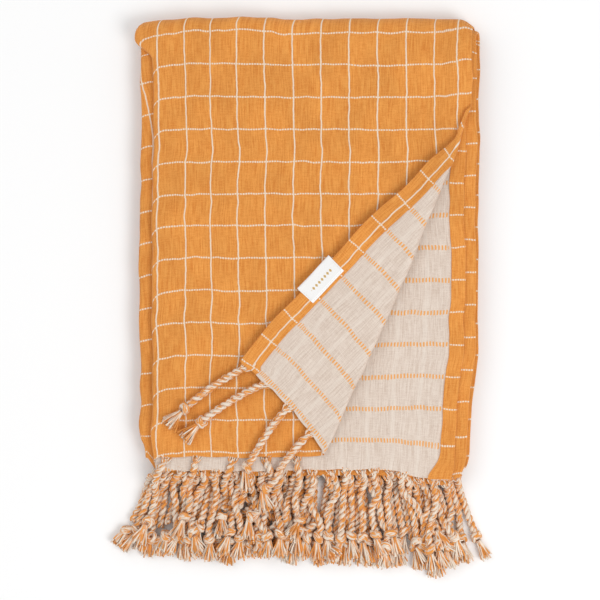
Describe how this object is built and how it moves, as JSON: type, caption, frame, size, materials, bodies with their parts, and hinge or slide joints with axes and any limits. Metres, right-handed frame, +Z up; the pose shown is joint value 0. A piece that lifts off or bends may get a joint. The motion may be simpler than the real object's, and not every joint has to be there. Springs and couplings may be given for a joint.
{
  "type": "folded throw blanket",
  "caption": "Fringed double-weave throw folded into a flat stack, one corner turned back to show the plain reverse, twisted and knotted tassels along one end.",
  "frame": {"origin": "on the surface it lies on, under the middle of the whole object with its fringe", "axes": "+Y towards the folded top edge, away from the fringe; +Z up through the stack; +X towards the side where the loose selvedges are"},
  "size_m": [0.3702, 0.5658, 0.0398],
  "materials": {
    "check_cloth": "soft crinkled double weave, orange face with a fine off-white check, natural reverse with orange dashes",
    "label_weave": "smooth white woven tape",
    "sewing_thread": "matt sewing thread",
    "twisted_fringe": "two-ply twisted orange and natural yarn, knotted, with frayed ends"
  },
  "bodies": {
    "lower_half": {"back_quarter": "check_cloth", "third_quarter": "check_cloth", "bottom_fold": "check_cloth", "outer_top_fold": "check_cloth", "inner_top_fold": "check_cloth"},
    "upper_half": {"second_quarter": "check_cloth", "front_quarter": "check_cloth", "crease_roll": "check_cloth", "front_tassel_1": "twisted_fringe", "front_tassel_2": "twisted_fringe", "front_tassel_3": "twisted_fringe", "front_tassel_4": "twisted_fringe", "front_tassel_5": "twisted_fringe", "second_tassel_1": "twisted_fringe", "second_tassel_2": "twisted_fringe", "second_tassel_3": "twisted_fringe", "second_tassel_4": "twisted_fringe", "second_tassel_5": "twisted_fringe", "second_tassel_6": "twisted_fringe", "second_tassel_7": "twisted_fringe", "second_tassel_8": "twisted_fringe", "second_tassel_9": "twisted_fringe", "inner_tassel_1": "twisted_fringe", "inner_tassel_2": "twisted_fringe", "inner_tassel_3": "twisted_fringe", "inner_tassel_4": "twisted_fringe", "inner_tassel_5": "twisted_fringe", "inner_tassel_6": "twisted_fringe", "inner_tassel_7": "twisted_fringe", "inner_tassel_8": "twisted_fringe", "inner_tassel_9": "twisted_fringe", "inner_tassel_10": "twisted_fringe", "lower_tassel_1": "twisted_fringe", "lower_tassel_2": "twisted_fringe", "lower_tassel_3": "twisted_fringe", "lower_tassel_4": "twisted_fringe", "lower_tassel_5": "twisted_fringe", "lower_tassel_6": "twisted_fringe", "lower_tassel_7": "twisted_fringe", "lower_tassel_8": "twisted_fringe", "lower_tassel_9": "twisted_fringe", "lower_tassel_10": "twisted_fringe"},
    "corner_flap": {"corner_flap": "check_cloth", "flap_side_hem": "check_cloth", "woven_label": "label_weave", "label_stitching": "sewing_thread", "flap_tassel_1": "twisted_fringe", "flap_tassel_2": "twisted_fringe", "flap_tassel_3": "twisted_fringe", "flap_tassel_4": "twisted_fringe"}
  },
  "joints": [
    {"name": "top_fold", "type": "hinge", "parent": "lower_half", "child": "upper_half", "pos_m": [0.01749, 0.26845, 0.01425], "axis": [-1, 0, 0], "range_deg": [0, 175], "deforming": ["outer_top_fold", "inner_top_fold"]},
    {"name": "corner_fold", "type": "hinge", "parent": "upper_half", "child": "corner_flap", "pos_m": [0.17399, 0.19645, 0.03148], "axis": [0.3924, 0.9198, 0], "range_deg": [0, 175], "deforming": ["crease_roll"]}
  ]
}
